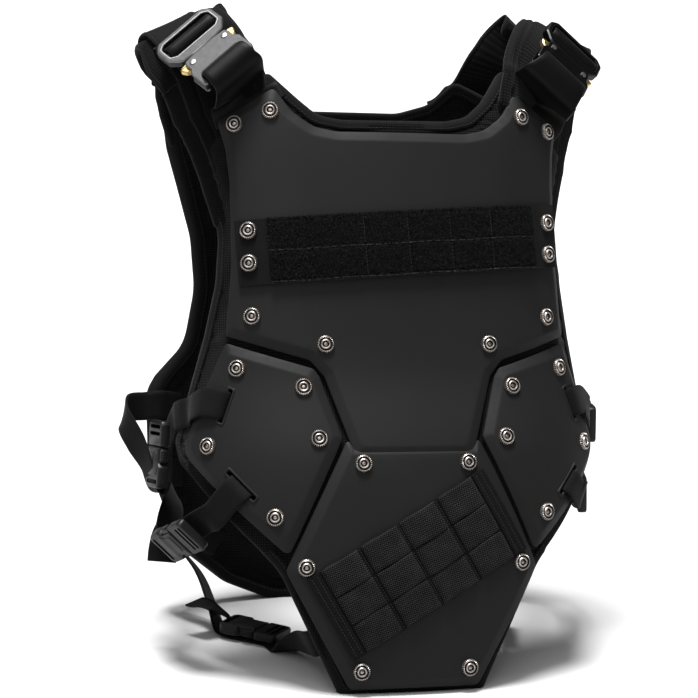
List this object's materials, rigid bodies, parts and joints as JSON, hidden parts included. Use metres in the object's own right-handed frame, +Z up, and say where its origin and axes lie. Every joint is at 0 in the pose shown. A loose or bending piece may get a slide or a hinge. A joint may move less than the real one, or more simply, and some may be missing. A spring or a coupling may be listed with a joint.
{
  "type": "paintball vest",
  "caption": "Padded mesh vest with moulded foam plates, ring snaps, a loop field, a slanted webbing field, side straps with clips and sprung shoulder buckles, worn over the torso.",
  "frame": {"origin": "middle of the bounding box, on the floor that the vest stands on", "axes": "+Z up, -Y the way the chest faces, -X to the left of the picture"},
  "size_m": [0.448, 0.3284, 0.5566],
  "materials": {
    "mesh_cloth": "black padded spacer mesh",
    "foam": "matte black moulded foam",
    "loop_tape": "black fuzzy loop tape",
    "webbing": "black woven webbing",
    "plastic": "black satin moulding",
    "grey_metal": "grey anodised",
    "black_metal": "black anodised",
    "gold": "satin gold",
    "pewter": "antique pewter"
  },
  "bodies": {
    "vest": {"front_panel": "mesh_cloth", "back_panel": "mesh_cloth", "shoulder_strap_left": "mesh_cloth", "shoulder_strap_right": "mesh_cloth", "chest_plate": "foam", "flank_plate_left": "foam", "flank_plate_right": "foam", "belly_plate": "foam", "loop_panel": "loop_tape", "webbing_grid": "webbing", "front_strap_left": "webbing", "front_strap_right": "webbing", "upper_strap_left": "webbing", "upper_strap_right": "webbing", "lower_strap_left": "webbing", "lower_strap_right": "webbing", "bottom_strap_left": "webbing", "bottom_strap_right": "webbing", "upper_clip_left": "plastic", "upper_clip_right": "plastic", "lower_clip_left": "plastic", "lower_clip_right": "plastic", "bottom_clip_left": "plastic", "bottom_clip_right": "plastic", "buckle_body_left": "grey_metal", "buckle_frame_left": "grey_metal", "buckle_body_right": "black_metal", "buckle_frame_right": "black_metal", "snap_01": "pewter", "snap_02": "pewter", "snap_03": "pewter", "snap_04": "pewter", "snap_05": "pewter", "snap_06": "pewter", "snap_07": "pewter", "snap_08": "pewter", "snap_09": "pewter", "snap_10": "pewter", "snap_11": "pewter", "snap_12": "pewter", "snap_13": "pewter", "snap_14": "pewter", "snap_15": "pewter", "snap_16": "pewter", "snap_17": "pewter", "snap_18": "pewter", "snap_19": "pewter", "snap_20": "pewter", "snap_21": "pewter", "snap_22": "pewter", "snap_23": "pewter", "snap_24": "pewter", "snap_25": "pewter", "snap_26": "pewter", "snap_27": "pewter", "snap_28": "pewter"},
    "lever_right_outer": {"buckle_lever_right_outer": "gold"},
    "lever_right_inner": {"buckle_lever_right_inner": "gold"},
    "lever_left_outer": {"buckle_lever_left_outer": "gold"},
    "lever_left_inner": {"buckle_lever_left_inner": "gold"}
  },
  "joints": [
    {"name": "lever_press_right_outer", "type": "hinge", "parent": "vest", "child": "lever_right_outer", "pos_m": [0.17597, 0.01122, 0.50732], "axis": [0.4249, -0.6237, 0.6561], "range_deg": [0, 9], "stiffness_Nm_per_rad": 0.05},
    {"name": "lever_press_right_inner", "type": "hinge", "parent": "vest", "child": "lever_right_inner", "pos_m": [0.14881, 0.01685, 0.53026], "axis": [0.4249, -0.6237, 0.6561], "range_deg": [-9, 0], "stiffness_Nm_per_rad": 0.05},
    {"name": "lever_press_left_outer", "type": "hinge", "parent": "vest", "child": "lever_left_outer", "pos_m": [-0.17225, 0.01122, 0.50732], "axis": [-0.4249, -0.6237, 0.6561], "range_deg": [-9, 0], "stiffness_Nm_per_rad": 0.05},
    {"name": "lever_press_left_inner", "type": "hinge", "parent": "vest", "child": "lever_left_inner", "pos_m": [-0.14508, 0.01685, 0.53026], "axis": [-0.4249, -0.6237, 0.6561], "range_deg": [0, 9], "stiffness_Nm_per_rad": 0.05}
  ]
}
